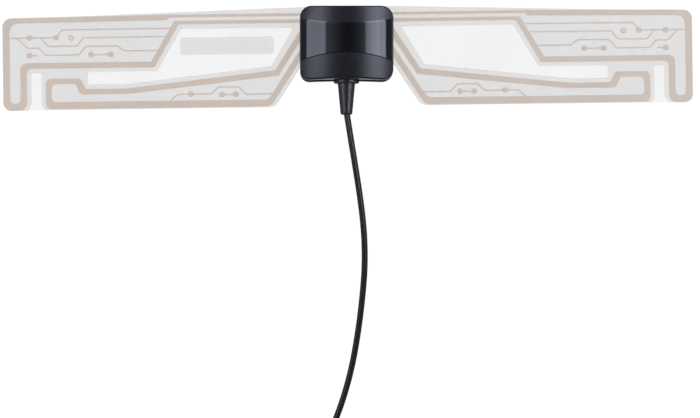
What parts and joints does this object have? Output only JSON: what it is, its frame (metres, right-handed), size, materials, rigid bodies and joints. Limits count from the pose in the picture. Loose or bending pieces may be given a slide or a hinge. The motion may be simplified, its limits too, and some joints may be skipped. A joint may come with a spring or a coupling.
{
  "type": "flat film tv antenna",
  "caption": "Flat clear-film indoor television antenna with printed conductor arms, a black central box, strain relief and thin coaxial cable ending in a coaxial plug.",
  "frame": {"origin": "on the film's flat back face, behind the middle of the box", "axes": "+X along the arms, +Y from the cable end towards the top edge, +Z out of the film's front face"},
  "size_m": [0.3452, 0.252, 0.0125],
  "materials": {
    "clear_film": "clear",
    "tinted_film": "satin",
    "conductor": "satin",
    "foam_tape": "matte",
    "matte_black": "fine matte texture",
    "gloss_black": "polished",
    "soft_black": "satin",
    "cable_jacket": "satin",
    "tie_black": "matte",
    "board_green": "satin",
    "chip_black": "matte",
    "chip_ceramic": "satin",
    "ferrite": "matte",
    "copper_wire": "drawn",
    "spring_bronze": "rolled",
    "screw_steel": "plated",
    "plug_metal": "nickel plated",
    "white_plastic": "moulded"
  },
  "bodies": {
    "root": {"carrier_film": "clear_film", "tinted_film": "tinted_film", "blank_label": "tinted_film", "left_conductor": "conductor", "right_conductor": "conductor", "left_trace_islands": "conductor", "right_trace_islands": "conductor", "adhesive_pad": "foam_tape", "rear_cover": "matte_black", "front_cover": "matte_black", "gloss_panel": "gloss_black", "circuit_board": "board_green", "board_screws": "screw_steel", "left_contact_spring": "spring_bronze", "right_contact_spring": "spring_bronze", "amplifier_chip": "chip_black", "chip_capacitors": "chip_ceramic", "chip_resistors": "chip_black", "chip_inductors": "ferrite", "balun_core": "ferrite", "balun_winding": "copper_wire", "cable_clip": "screw_steel", "coax_jacket_end": "cable_jacket", "coax_braid_end": "copper_wire", "coax_dielectric_end": "white_plastic", "coax_wire_end": "copper_wire", "strain_relief": "soft_black", "cable_run": "cable_jacket", "cable_coil": "cable_jacket", "cable_tail": "cable_jacket", "coil_tie": "tie_black", "plug_grip": "soft_black", "plug_shell": "plug_metal", "plug_insulator": "white_plastic", "plug_pin": "plug_metal"}
  },
  "joints": []
}
